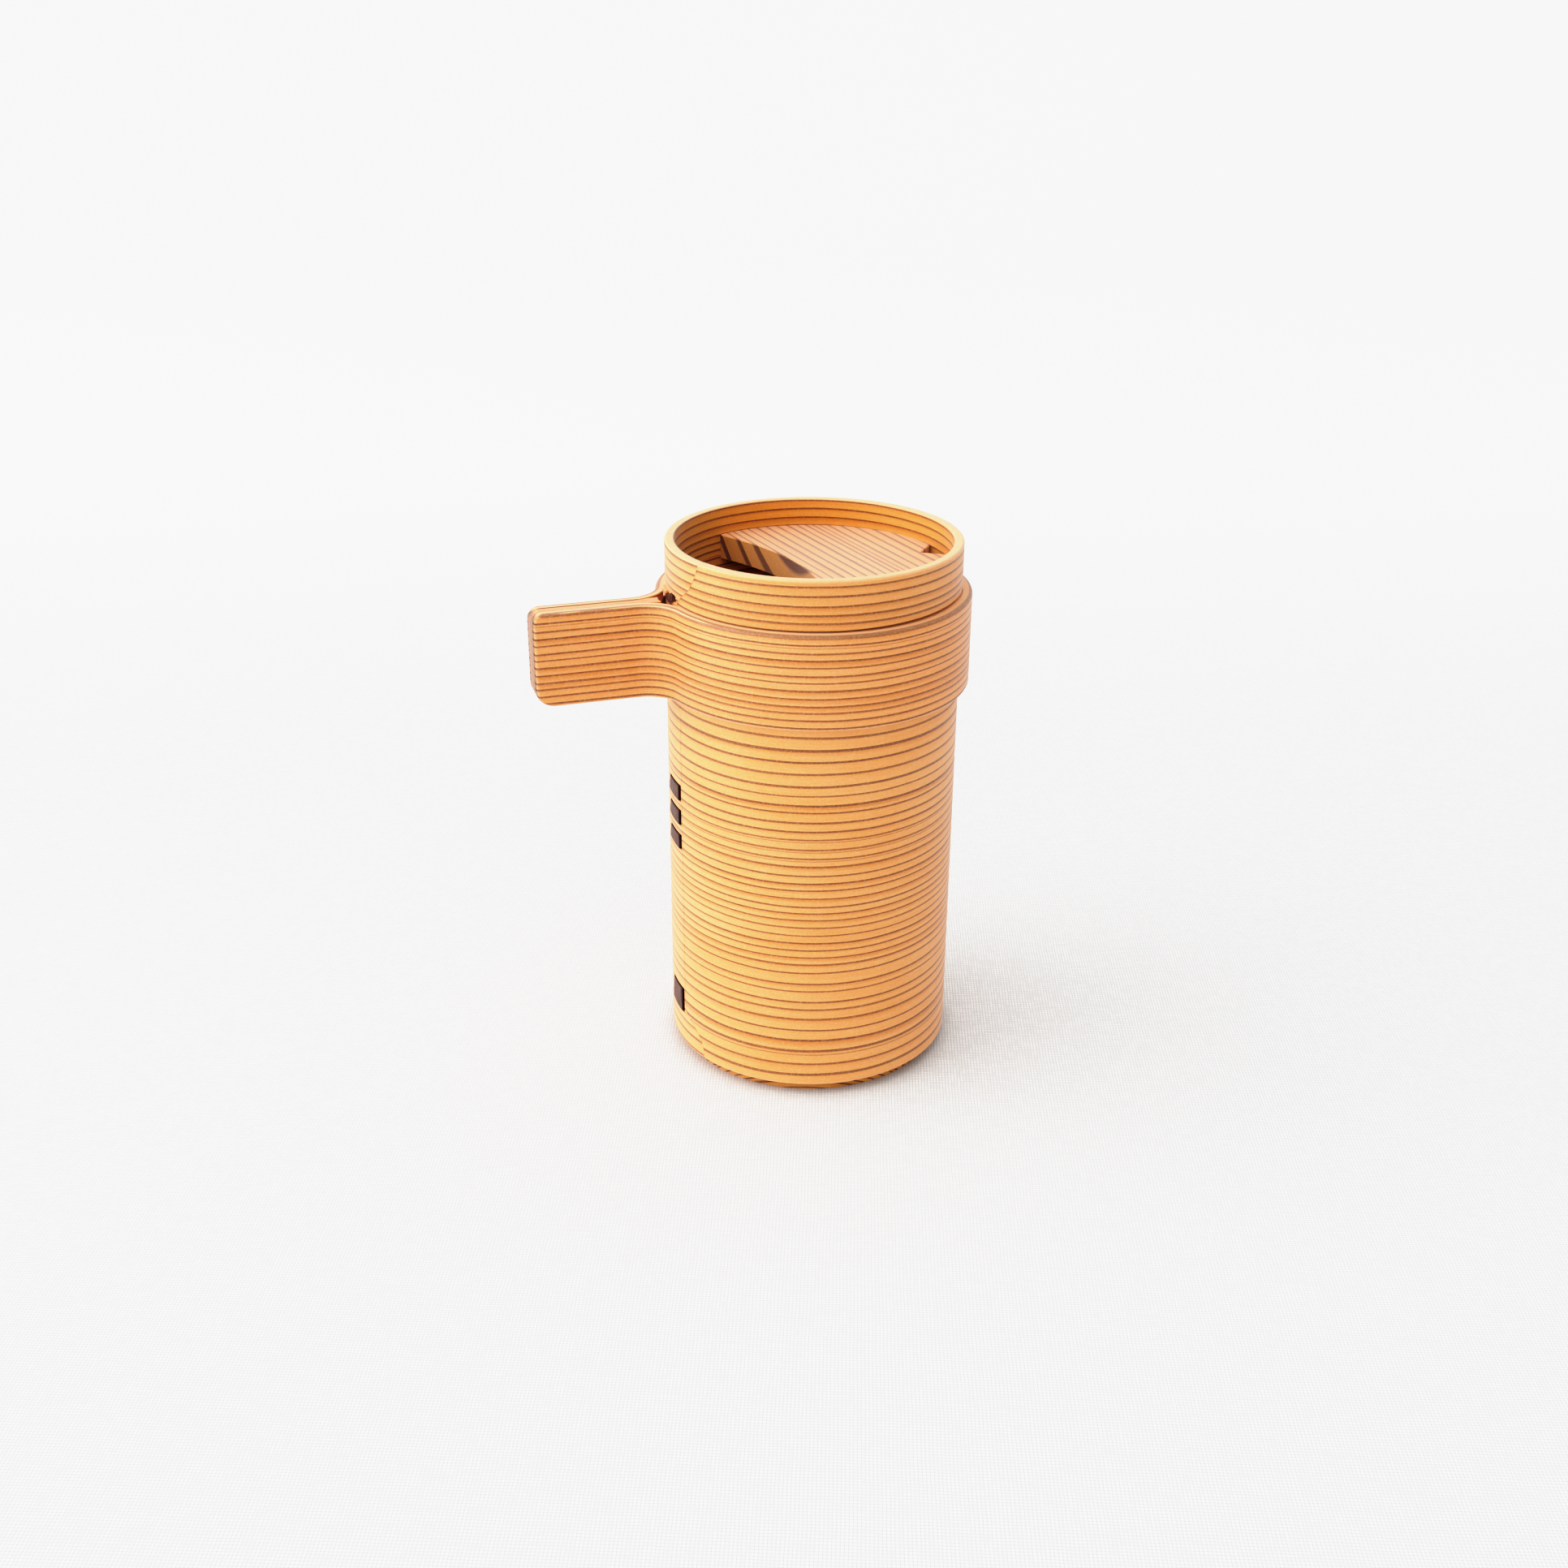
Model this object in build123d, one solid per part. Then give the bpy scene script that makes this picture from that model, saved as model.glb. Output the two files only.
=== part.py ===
from build123d import *
import os
from math import sin, cos, tan, radians, degrees, sqrt, asin, atan2

# Lidded bent-wood serving pot: a tall hoop of thin cedar board with a base
# board let into its foot, a wide strip bent right round the top whose two ends
# are pinched onto a core to make a side handle, and a lid made of a short hoop
# with a thick board set down inside it.  Laps are laced with strips of bark.
#
# Frame: millimetres.  Origin at the centre of the base board's underside,
# +Z up the vessel, the handle points along -X.

# ---------------------------------------------------------------- dimensions
body_r = 37.5            # outer radius of the body hoop and of the lid hoop
wall_t = 2.5             # board thickness of both hoops
bore_r = body_r - wall_t
base_out = 3.0           # how far the base board stands out below the hoop
wall_h = 124.7           # height of the body hoop
wall_z0 = base_out
wall_z1 = base_out + wall_h
base_t = 8.0             # base board thickness
glue = 0.05              # radial glue line between fixed round pieces

lap_step = 0.05          # feathered end of the body lap, at its thickest

band_h = 24.0            # height of the bent strip round the top
band_t = 2.5             # its thickness
band_in = body_r + glue
band_out = band_in + band_t
band_z1 = wall_z1
band_z0 = band_z1 - band_h

handle_tip = 72.7        # axis to the end of the handle
core_half = 1.38         # half the gap between the two legs of the strip
root_bend = 10.0         # centre-line radius of the bend where a leg leaves the body
tip_r_top = 3.0          # rounding of the handle's end, seen from the side
tip_r_bot = 5.0
core_in = 40.2           # axis to the core's inner end

lid_h = 12.8             # height of the lid hoop
lid_z0 = wall_z1
lid_z1 = lid_z0 + lid_h
lid_gap = 1.0            # lower edge of the lid hoop is out of true by this much
lid_gap_az = -18.0       # direction in which it is open
lid_step = 0.07          # feathered end of the lid hoop's lap
board_down = 7.2         # top of the lid board below the rim
board_z1 = lid_z1 - board_down
board_z0 = wall_z1 - 0.8 # the board plugs the body hoop by this much
board_r = bore_r - 0.06

lid_turn = 6.4           # the lid sits turned by this angle on the body
pour_c = 73.4            # pouring opening: distance to the centre of its arc
pour_r = 69.7            # and the radius of that arc
vent_apex = (29.3, 1.2)  # air notch: its point, and the directions of its two sides
vent_a1 = 50.0
vent_a2 = -32.0

bark_t = 0.42            # thickness of the bark strip
bed = 0.26               # the stitches are pressed this far into the lap
lace_y0, lace_y1 = -4.65, 5.0      # side to side extent of a stitch
slit_y0, slit_y1 = -5.85, 5.25     # and of the cut-outs it sits in
slit_w = 0.95            # width of the narrower slit; the other one gapes
lean = 2.2               # that slit leans by this much over a stitch's height
# outer stitches on the body lap: (bottom, top) above the hoop's lower edge
upper = [(71.7, 76.0), (64.9, 69.0), (58.0, 62.0)]
lower = [(9.3, 16.4)]


# ---------------------------------------------------------------- helpers
def tube(ro, ri, z0, z1):
    """A round shell from z0 to z1."""
    f = Circle(ro) - Circle(ri)
    return Pos(0, 0, z0) * extrude(f, z1 - z0)


def disc(r, z0, z1):
    return Pos(0, 0, z0) * extrude(Circle(r), z1 - z0)


def block(x0, x1, y0, y1, z0, z1):
    return Pos((x0 + x1) / 2, (y0 + y1) / 2, (z0 + z1) / 2) * Box(x1 - x0, y1 - y0, z1 - z0)


def prism_yz(pts, x0, x1):
    """A polygon given in (y, z), run along X from x0 to x1."""
    w = Wire([Line((x0, *pts[i]), (x0, *pts[(i + 1) % len(pts)])) for i in range(len(pts))])
    return extrude(Face(w), x1 - x0, dir=(1, 0, 0))


def prism_xy(pts, z0, z1):
    w = Wire([Line((*pts[i], z0), (*pts[(i + 1) % len(pts)], z0)) for i in range(len(pts))])
    return extrude(Face(w), z1 - z0, dir=(0, 0, 1))


def rim_edges(s, r, z, tol=0.02):
    """Circular edges of radius near r lying at height z."""
    out = []
    for e in s.edges():
        if e.geom_type == GeomType.CIRCLE and abs(e.radius - r) < tol:
            c = e.center(CenterOf.BOUNDING_BOX)
            bb = e.bounding_box()
            if abs(bb.min.Z - z) < tol and abs(bb.max.Z - z) < tol:
                out.append(e)
    return out


def soften(s, edges, r):
    """Round the edges if there are any."""
    return fillet(edges, r) if edges else s


def one(s):
    """The single solid of a result."""
    sol = s.solids()
    assert len(sol) == 1, len(sol)
    return sol[0]


# ---------------------------------------------------------------- base board
# A round board let into the foot of the hoop and standing out a little below
# it, with its lower arris eased and its upper one lightly broken.
base = disc(bore_r - glue, 0, base_t)
base = soften(base, rim_edges(base, bore_r - glue, 0), 0.5)
base = chamfer(rim_edges(base, bore_r - glue, base_t), 0.3)
base_board = one(base)

# ---------------------------------------------------------------- body hoop
wall = tube(body_r, bore_r, wall_z0, wall_z1)
wall = fillet(rim_edges(wall, body_r, wall_z0), 0.6)
wall = fillet(rim_edges(wall, bore_r, wall_z0), 0.3)
wall = fillet(rim_edges(wall, body_r, wall_z1), 0.3)
wall = fillet(rim_edges(wall, bore_r, wall_z1), 0.4)

# The outer end of the lap is shaved to a feather.  Seen from outside its edge
# swings out near the foot and then runs straight up beside the stitches.
seam = [(-156.5, wall_z0 + 0.7), (-156.8, wall_z0 + 3.2), (-158.8, wall_z0 + 5.6),
        (-163.8, wall_z0 + 8.2), (-169.6, wall_z0 + 10.6), (-170.6, wall_z0 + 13.0)]
top = band_z0 - 0.1
ecc = Pos(-lap_step * cos(radians(4)), -lap_step * sin(radians(4)), wall_z0 + 0.7) * \
    extrude(Circle(body_r), top - wall_z0 - 0.7)
side = [(body_r * 1.02 * sin(radians(a)), z) for a, z in seam]
side += [(body_r * sin(radians(-170.6)), top + 1), (body_r + 5, top + 1), (body_r + 5, wall_z0)]
patch = prism_yz(side, -body_r - 5, 0)
lap = (ecc & patch) - disc(body_r - 1.0, 0, 200)
wall = wall + lap


def slits(ranges):
    """Two slits right through the wall for each stitch, joined by a shallow
    bed that the bark is pressed into."""
    out = None
    bed_shell = tube(body_r + 3, body_r - bed, 0, 200)
    for z0, z1 in ranges:
        lo, hi = wall_z0 + z0 - 0.12, wall_z0 + z1 + 0.36
        right = block(-body_r - 3, -bore_r + 4, slit_y0, lace_y0 + 0.6, lo, hi)
        left = prism_yz([(slit_y1 - slit_w, lo), (slit_y1, lo), (slit_y1 - lean, hi), (slit_y1 - slit_w - lean, hi)],
                        -body_r - 3, -bore_r + 4)
        between = bed_shell & prism_yz([(slit_y0 + 0.1, lo + 0.02), (slit_y1 - 0.1, lo + 0.02),
                                        (slit_y1 - lean - 0.1, hi - 0.02), (slit_y0 + 0.1, hi - 0.02)],
                                       -body_r - 3, -30)
        for b in (right, left, between):
            out = b if out is None else out + b
    return out


wall = wall - slits(upper) - slits(lower)
body_wall = one(wall)


# ---------------------------------------------------------------- bark lacing
shell_in = body_r - bed + 0.02               # stitches lie in their beds
shell_out = shell_in + bark_t
back_out = bore_r - 0.04                     # return runs inside the hoop
back_in = back_out - bark_t


def lacing(ranges, tails):
    """Outer stitches, legs through the slits, and slanting returns inside,
    all one strip of bark."""
    outer = tube(shell_out, shell_in, 0, 200)
    inner = tube(back_out, back_in, 0, 200)
    s = None
    yl, yr = lace_y1 - 0.02, lace_y0 + 0.02
    for i, (a, b) in enumerate(ranges):
        z0, z1 = wall_z0 + a, wall_z0 + b
        seg = outer & prism_yz([(yr, z0), (yl - 0.15, z0), (yl - lean + 0.1, z1), (yr, z1)], -45, -30)
        s = seg if s is None else s + seg
        # two legs
        ring = tube(shell_out - 0.02, back_in + 0.02, 0, 200)
        d = lean * 0.04
        for plan in ([(yr, z0 + 0.02), (yr + bark_t, z0 + 0.02), (yr + bark_t, z1 - 0.02), (yr, z1 - 0.02)],
                     [(yl - 0.15 - bark_t, z0 + 0.02), (yl - 0.15, z0 + 0.02),
                      (yl - lean + d, z1 - 0.02), (yl - lean + d - bark_t, z1 - 0.02)]):
            s = s + (prism_yz(plan, -45, -20) & ring)
    # slanting returns between neighbouring stitches
    for (a0, b0), (a1, b1) in zip(ranges[:-1], ranges[1:]):
        run = [(yl - lean, wall_z0 + b0 - 0.1), (yl - 0.15, wall_z0 + a0 + 0.1),
               (yr, wall_z0 + a1 + 0.1), (yr, wall_z0 + b1 - 0.1)]
        s = s + (inner & prism_yz(run, -45, -20))
    # tails tucked inside at both ends of the strip
    (a, b), (c, d) = ranges[0], ranges[-1]
    t0 = [(yr, wall_z0 + a + 0.1), (yr + 4.0, wall_z0 + a + 1.6), (yr + 3.4, wall_z0 + b + tails),
          (yr + 0.4, wall_z0 + b + tails + 0.8), (yr, wall_z0 + b - 0.1)]
    t1 = [(yl - 0.2, wall_z0 + c + 0.1), (yl - lean, wall_z0 + d - 0.1), (yl - lean - 2.0, wall_z0 + d - 1.0),
          (yl - 3.6, wall_z0 + c - tails * 0.5), (yl - 0.7, wall_z0 + c - tails * 0.5 - 0.4)]
    s = s + (inner & prism_yz(t0, -45, -20)) + (inner & prism_yz(t1, -45, -20))
    return one(s)


body_lacing_upper = lacing(upper, 6.0)
body_lacing_lower = lacing(lower, 2.4)

# ---------------------------------------------------------------- handle strip
# Plan of the strip: it hugs the body almost all the way round, then each end
# bends back the other way and runs out along the handle.
mid_r = band_in + band_t / 2
leg_mid = core_half + band_t / 2
by = leg_mid + root_bend
bd = mid_r + root_bend
bx = -sqrt(bd * bd - by * by)
ua = atan2(by, bx)                                  # direction of the bend's centre


def arc_mid(cx, cy, r, a0, a1):
    a = (a0 + a1) / 2
    return (cx + r * cos(a), cy + r * sin(a))


def leg_profile(r_circle, r_bend, y_leg):
    """Half outline (y > 0 side): end of leg -> body circle tangent point."""
    p_end = (-handle_tip - 2, y_leg)
    p_bend = (bx, y_leg)
    tx, ty = r_circle * cos(ua), r_circle * sin(ua)
    a0 = radians(-90)
    a1 = atan2(ty - by, tx - bx)
    m = arc_mid(bx, by, r_bend, a0, a1)
    return p_end, p_bend, m, (tx, ty)


def outline(r_circle, r_bend, y_leg):
    e, b, m, t = leg_profile(r_circle, r_bend, y_leg)
    flip = lambda p: (p[0], -p[1])
    return [Line(e, b), ThreePointArc(b, m, t),
            ThreePointArc(t, (r_circle, 0), flip(t)),
            ThreePointArc(flip(t), flip(m), flip(b)), Line(flip(b), flip(e))], e


outer_c, pe = outline(band_out, root_bend - band_t / 2, leg_mid + band_t / 2)
inner_c, pi_ = outline(band_in, root_bend + band_t / 2, leg_mid - band_t / 2)
flat = Wire(outer_c + inner_c + [Line(pe, pi_), Line((pe[0], -pe[1]), (pi_[0], -pi_[1]))])
strip = Pos(0, 0, band_z0) * extrude(Face(flat), band_h, dir=(0, 0, 1))

# Side view of the handle: its end corners are rounded, more below than above.
w = Wire([
    Line((60, 0, band_z0), (-handle_tip + tip_r_bot, 0, band_z0)),
    ThreePointArc((-handle_tip + tip_r_bot, 0, band_z0),
                  (-handle_tip + tip_r_bot * (1 - cos(radians(45))), 0, band_z0 + tip_r_bot * (1 - sin(radians(45)))),
                  (-handle_tip, 0, band_z0 + tip_r_bot)),
    Line((-handle_tip, 0, band_z0 + tip_r_bot), (-handle_tip, 0, band_z1 - tip_r_top)),
    ThreePointArc((-handle_tip, 0, band_z1 - tip_r_top),
                  (-handle_tip + tip_r_top * (1 - cos(radians(45))), 0, band_z1 - tip_r_top * (1 - sin(radians(45)))),
                  (-handle_tip + tip_r_top, 0, band_z1)),
    Line((-handle_tip + tip_r_top, 0, band_z1), (60, 0, band_z1)),
    Line((60, 0, band_z1), (60, 0, band_z0)),
])
side_view = Pos(0, 60, 0) * extrude(Face(w), 120, dir=(0, -1, 0))
strip = strip & side_view


def outer_edges(s):
    """Edges of the strip's outer face along its top, bottom and end."""
    out = []
    for e in s.edges():
        ok = True
        for t in (0.0, 0.25, 0.5, 0.75, 1.0):
            p = e @ t
            on_ring = abs(sqrt(p.X ** 2 + p.Y ** 2) - band_out) < 0.02
            on_leg = abs(abs(p.Y) - (leg_mid + band_t / 2)) < 0.02
            d = sqrt((p.X - bx) ** 2 + (abs(p.Y) - by) ** 2)
            on_bend = abs(d - (root_bend - band_t / 2)) < 0.02 and p.X < 0
            if not (on_ring or on_leg or on_bend):
                ok = False
        bb = e.bounding_box()
        upright = bb.size.X < 0.01 and bb.size.Y < 0.01
        if ok and (not upright or bb.min.X < -handle_tip + 0.05):
            out.append(e)
    return out


strip = fillet(outer_edges(strip), 0.8)
handle_band = one(strip)

# ---------------------------------------------------------------- handle core
c = core_half - 0.02
core_plan = [(-handle_tip - 2, c), (-handle_tip - 2, -c), (-46.0, -c), (-core_in, -1.85),
             (-core_in - 0.3, 0.2), (-core_in, 2.0), (-46.0, c)]
core = prism_xy(core_plan, band_z0 + 0.15, band_z1 - 0.12) & side_view
handle_core = one(core)

# ---------------------------------------------------------------- lid hoop
hoop = tube(body_r, bore_r, lid_z0 - 3, lid_z1)
hoop = fillet(rim_edges(hoop, body_r, lid_z1), 0.55)
hoop = fillet(rim_edges(hoop, bore_r, lid_z1), 0.4)

# Feathered lap end, its edge slanting down beside the handle.
lseam = [(-156.6, lid_z1 - 0.56), (-157.6, lid_z1 - 2.2), (-158.8, lid_z1 - 3.9), (-162.5, lid_z1 - 7.5),
         (-166.8, lid_z1 - 9.7), (-171.1, lid_z1 - 12.2), (-172.5, lid_z1 - 14.0)]
ecc = Pos(-lid_step * cos(radians(10)), -lid_step * sin(radians(10)), lid_z0 - 3) * \
    extrude(Circle(body_r), lid_h + 3 - 0.56)
side = [(body_r * 1.02 * sin(radians(a)), z) for a, z in lseam]
side += [(side[-1][0], lid_z0 - 4), (body_r + 5, lid_z0 - 4), (body_r + 5, lid_z1)]
patch = prism_yz(side, -body_r - 5, 0)
hoop = hoop + ((ecc & patch) - disc(body_r - 1.0, 0, 200))

# Its lower edge was planed slightly out of true, so it stands open on one side.
tilt = degrees(atan2(lid_gap, 2 * body_r))
knife = Pos(0, 0, -20) * Box(140, 140, 40)
knife = Rot(0, -tilt, 0) * knife
knife = Pos(0, 0, lid_z0 + lid_gap / 2) * (Rot(0, 0, lid_gap_az) * knife)
hoop = hoop - knife

# Torn notch in the lower edge where the lacing passes, and beside it the lap's
# lifted lip, standing out from the hoop.
zb = lid_z0
notch = [(-5.6, zb - 1), (-5.5, zb + 0.1), (-4.75, zb + 0.45), (-5.25, zb + 0.85), (-4.3, zb + 1.15),
         (-4.9, zb + 1.6), (-3.9, zb + 1.95), (-1.7, zb + 1.95), (0.9, zb + 0.75), (1.2, zb - 1)]
hoop = hoop - prism_yz(notch, -body_r - 3, -30)
lip = [(0.75, zb + 1.7), (0.75, zb + 0.95), (3.5, zb - 0.6), (4.25, zb - 0.6), (4.25, zb + 0.2),
       (5.9, zb + 0.3), (5.8, zb + 1.5), (4.9, zb + 1.9)]
lip_low = tube(body_r + 0.85, body_r + 0.08, lid_z0 - 3, lid_z0 + 0.15)
lip_high = tube(body_r + 0.85, body_r - 0.6, lid_z0 + 0.08, lid_z1)
hoop = hoop + ((lip_low + lip_high) & prism_yz(lip, -body_r - 3, -30))
lid_hoop = one(hoop)

# ---------------------------------------------------------------- lid lacing
# A single turn of bark round the lower edge of the lid hoop.
plate_in = body_r + lid_step + 0.04
plate_out = plate_in + bark_t
plate = tube(plate_out, plate_in, 0, 200) & prism_yz(
    [(-3.3, zb + 1.75), (-3.3, zb + 0.15), (-1.4, zb - 0.75), (2.9, zb - 0.75),
     (2.9, zb - 0.62), (0.55, zb + 0.72), (-1.75, zb + 1.8)], -45, -30)
turn_in = block(-45, -30, -3.3, -3.3 + 2.2, zb + 0.85, zb + 0.85 + bark_t + 0.2) & tube(plate_out - 0.02, bore_r + 0.04, 0, 200)
lid_lacing = one(plate + turn_in)

# ---------------------------------------------------------------- lid board
board = disc(board_r, board_z0, board_z1)
pc = (pour_c * cos(radians(180 + lid_turn)), pour_c * sin(radians(180 + lid_turn)))
board = board - (Pos(pc[0], pc[1], 0) * disc(pour_r, board_z0 - 2, board_z1 + 2))
ax, ay = vent_apex
L = 14.0
board = board - prism_xy([(ax, ay), (ax + L * cos(radians(vent_a2)), ay + L * sin(radians(vent_a2))),
                          (ax + L * cos(radians(vent_a1)), ay + L * sin(radians(vent_a1)))],
                         board_z0 - 2, board_z1 + 2)
# arrises of the two openings lightly broken
brk = [e for e in board.edges()
       if abs(e.center().Z - board_z1) < 0.01 and not (e.geom_type == GeomType.CIRCLE and abs(e.radius - board_r) < 0.02)]
board = chamfer(brk, 0.25)
low = [e for e in board.edges()
       if abs(e.center().Z - board_z0) < 0.01 and e.geom_type == GeomType.CIRCLE and abs(e.radius - board_r) < 0.02]
board = chamfer(low, 0.3)
lid_board = one(board)

# ---------------------------------------------------------------- write
os.makedirs("parts", exist_ok=True)
nodes = {
    "base_board": base_board,
    "body_wall": body_wall,
    "body_lacing_upper": body_lacing_upper,
    "body_lacing_lower": body_lacing_lower,
    "handle_band": handle_band,
    "handle_core": handle_core,
    "lid_hoop": lid_hoop,
    "lid_board": lid_board,
    "lid_lacing": lid_lacing,
}
for name, solid in nodes.items():
    export_step(solid, f"parts/{name}.step")
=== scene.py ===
import bpy
import math
from mathutils import Matrix, Vector


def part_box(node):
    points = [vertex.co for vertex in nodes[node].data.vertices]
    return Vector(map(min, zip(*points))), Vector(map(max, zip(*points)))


# Looks for a bent-cedar serving pot: procedural cedar on every wooden piece,
# polished cherry bark on the lacings, a white woven cloth to stand on.
# The pattern coordinates are the part's own, in millimetres, so every board
# carries its grain with it when it moves.

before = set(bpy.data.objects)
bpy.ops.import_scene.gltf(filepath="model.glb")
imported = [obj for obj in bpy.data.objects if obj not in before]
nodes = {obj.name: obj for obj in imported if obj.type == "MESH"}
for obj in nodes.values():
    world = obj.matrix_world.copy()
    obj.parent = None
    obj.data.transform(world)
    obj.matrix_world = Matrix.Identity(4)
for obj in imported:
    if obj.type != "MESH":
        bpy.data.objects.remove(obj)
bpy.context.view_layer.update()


# ------------------------------------------------------------ sizes of the part
def mm(v):
    return [round(c * 1000.0, 3) for c in v]


w_lo, w_hi = (mm(c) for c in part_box("body_wall"))
h_lo, h_hi = (mm(c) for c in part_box("handle_band"))
l_lo, l_hi = (mm(c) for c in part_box("lid_hoop"))
d_lo, d_hi = (mm(c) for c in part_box("lid_board"))
b_lo, b_hi = (mm(c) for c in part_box("base_board"))

WALL_Z0, WALL_Z1 = w_lo[2], w_hi[2]
BODY_R = w_hi[1]                       # outer radius of the hoops
BORE_R = BODY_R - 2.5
BAND_Z0, BAND_Z1 = h_lo[2], h_hi[2]
BAND_OUT = h_hi[1]
BAND_MID = BAND_OUT - 1.25
LID_Z1 = l_hi[2]
BOARD_Z0, BOARD_Z1 = d_lo[2], d_hi[2]
TIP = -h_lo[0]                         # the handle's end, from the axis


# ------------------------------------------------------------ node helpers
def lin(c):
    """8-bit sRGB to linear RGBA."""
    out = []
    for v in c:
        v = v / 255.0
        out.append(v / 12.92 if v <= 0.04045 else ((v + 0.055) / 1.055) ** 2.4)
    return (*out, 1.0)


class Tree:
    """Short names for the nodes of one material."""

    def __init__(self, name):
        self.mat = bpy.data.materials.new(name)
        self.mat.use_nodes = True
        self.nt = self.mat.node_tree
        self.nt.nodes.clear()
        self.out = self.nt.nodes.new("ShaderNodeOutputMaterial")
        self.col = 0

    def node(self, kind, **props):
        n = self.nt.nodes.new(kind)
        for k, v in props.items():
            setattr(n, k, v)
        self.col += 1
        n.location = ((self.col % 24) * 190 - 4600, -(self.col // 24) * 260)
        return n

    def put(self, socket, value):
        if value is None:
            return
        if isinstance(value, bpy.types.NodeSocket):
            self.nt.links.new(value, socket)
        else:
            socket.default_value = value

    def m(self, op, a, b=None, c=None, clamp=False):
        n = self.node("ShaderNodeMath", operation=op, use_clamp=clamp)
        self.put(n.inputs[0], a)
        self.put(n.inputs[1], b)
        self.put(n.inputs[2], c)
        return n.outputs[0]

    def add(self, a, b):
        return self.m("ADD", a, b)

    def sub(self, a, b):
        return self.m("SUBTRACT", a, b)

    def mul(self, a, b):
        return self.m("MULTIPLY", a, b)

    def mad(self, a, b, c):
        return self.m("MULTIPLY_ADD", a, b, c)

    def xyz(self):
        """The part's own coordinates, in millimetres, as three sockets."""
        tc = self.node("ShaderNodeTexCoord")
        s = self.node("ShaderNodeVectorMath", operation="SCALE")
        self.put(s.inputs[0], tc.outputs["Object"])
        s.inputs["Scale"].default_value = 1000.0
        sp = self.node("ShaderNodeSeparateXYZ")
        self.put(sp.inputs[0], s.outputs[0])
        return sp.outputs[0], sp.outputs[1], sp.outputs[2]

    def vec(self, x, y, z):
        n = self.node("ShaderNodeCombineXYZ")
        self.put(n.inputs[0], x)
        self.put(n.inputs[1], y)
        self.put(n.inputs[2], z)
        return n.outputs[0]

    def noise(self, vector, scale=1.0, detail=2.0, rough=0.5, distortion=0.0):
        n = self.node("ShaderNodeTexNoise", noise_dimensions="3D")
        self.put(n.inputs["Vector"], vector)
        n.inputs["Scale"].default_value = scale
        n.inputs["Detail"].default_value = detail
        n.inputs["Roughness"].default_value = rough
        n.inputs["Distortion"].default_value = distortion
        return n.outputs["Fac"]

    def noise1(self, w, scale=1.0, detail=1.0):
        n = self.node("ShaderNodeTexNoise", noise_dimensions="1D")
        self.put(n.inputs["W"], w)
        n.inputs["Scale"].default_value = scale
        n.inputs["Detail"].default_value = detail
        return n.outputs["Fac"]

    def white(self, w, seed):
        n = self.node("ShaderNodeTexWhiteNoise", noise_dimensions="2D")
        self.put(n.inputs["Vector"], self.vec(w, seed, 0.0))
        return n.outputs["Value"]

    def step(self, v, lo, hi, a=0.0, b=1.0):
        """Smooth step of v from a at lo to b at hi."""
        n = self.node("ShaderNodeMapRange", interpolation_type="SMOOTHSTEP")
        self.put(n.inputs["Value"], v)
        self.put(n.inputs["From Min"], lo)
        self.put(n.inputs["From Max"], hi)
        self.put(n.inputs["To Min"], a)
        self.put(n.inputs["To Max"], b)
        return n.outputs["Result"]

    def lerp(self, v, lo, hi, a, b):
        n = self.node("ShaderNodeMapRange", interpolation_type="LINEAR")
        self.put(n.inputs["Value"], v)
        self.put(n.inputs["From Min"], lo)
        self.put(n.inputs["From Max"], hi)
        self.put(n.inputs["To Min"], a)
        self.put(n.inputs["To Max"], b)
        return n.outputs["Result"]

    def mix(self, fac, a, b, mode="MIX"):
        n = self.node("ShaderNodeMix", data_type="RGBA", blend_type=mode, clamp_factor=True)
        self.put(n.inputs[0], fac)
        self.put(n.inputs[6], a)
        self.put(n.inputs[7], b)
        return n.outputs[2]

    def mixf(self, fac, a, b):
        n = self.node("ShaderNodeMix", data_type="FLOAT", clamp_factor=True)
        self.put(n.inputs[0], fac)
        self.put(n.inputs[2], a)
        self.put(n.inputs[3], b)
        return n.outputs[0]

    def curve(self, v, lo, hi, points):
        """A smooth curve through (v, value) points, for v from lo to hi."""
        top = max(q for _, q in points)
        n = self.node("ShaderNodeFloatCurve")
        self.put(n.inputs["Value"], self.lerp(v, lo, hi, 0.0, 1.0))
        c = n.mapping.curves[0]
        pts = [((p - lo) / (hi - lo), q / top) for p, q in points]
        while len(c.points) < len(pts):
            c.points.new(0.5, 0.5)
        for cp, (x, y) in zip(c.points, pts):
            cp.location = (x, y)
            cp.handle_type = "VECTOR" if len(pts) > 16 else "AUTO_CLAMPED"
        n.mapping.update()
        return self.mul(n.outputs[0], top)

    def bump(self, height, distance, strength=1.0, normal=None):
        n = self.node("ShaderNodeBump")
        n.inputs["Strength"].default_value = strength
        n.inputs["Distance"].default_value = distance
        self.put(n.inputs["Height"], height)
        self.put(n.inputs["Normal"], normal)
        return n.outputs[0]


def ring_table(zones, lo, hi):
    """Running count of growth rings from lo to hi for (position, pitch) zones."""
    n = 40
    pts, total = [], 0.0
    for i in range(n + 1):
        p = lo + (hi - lo) * i / n
        if i:
            q = p - (hi - lo) / n / 2
            pitch = zones[-1][1]
            if q <= zones[0][0]:
                pitch = zones[0][1]
            else:
                for (p0, a), (p1, b) in zip(zones[:-1], zones[1:]):
                    if p0 <= q <= p1:
                        pitch = a + (b - a) * (q - p0) / (p1 - p0)
                        break
            total += (hi - lo) / n / pitch
        if i % 2 == 0:
            pts.append((p, total))
    return pts


# ------------------------------------------------------------ cedar
LIGHT = lin((235, 157, 88))        # early wood
WARM = lin((216, 130, 52))         # soft bands beside the late wood
LATE = lin((88, 36, 0))            # late wood lines
PALE_WEAR_HIGHLIGHT = lin((240, 190, 138))        # pale edges: rubbed wear at the foot, painted highlight on lit rims and edges


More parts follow.
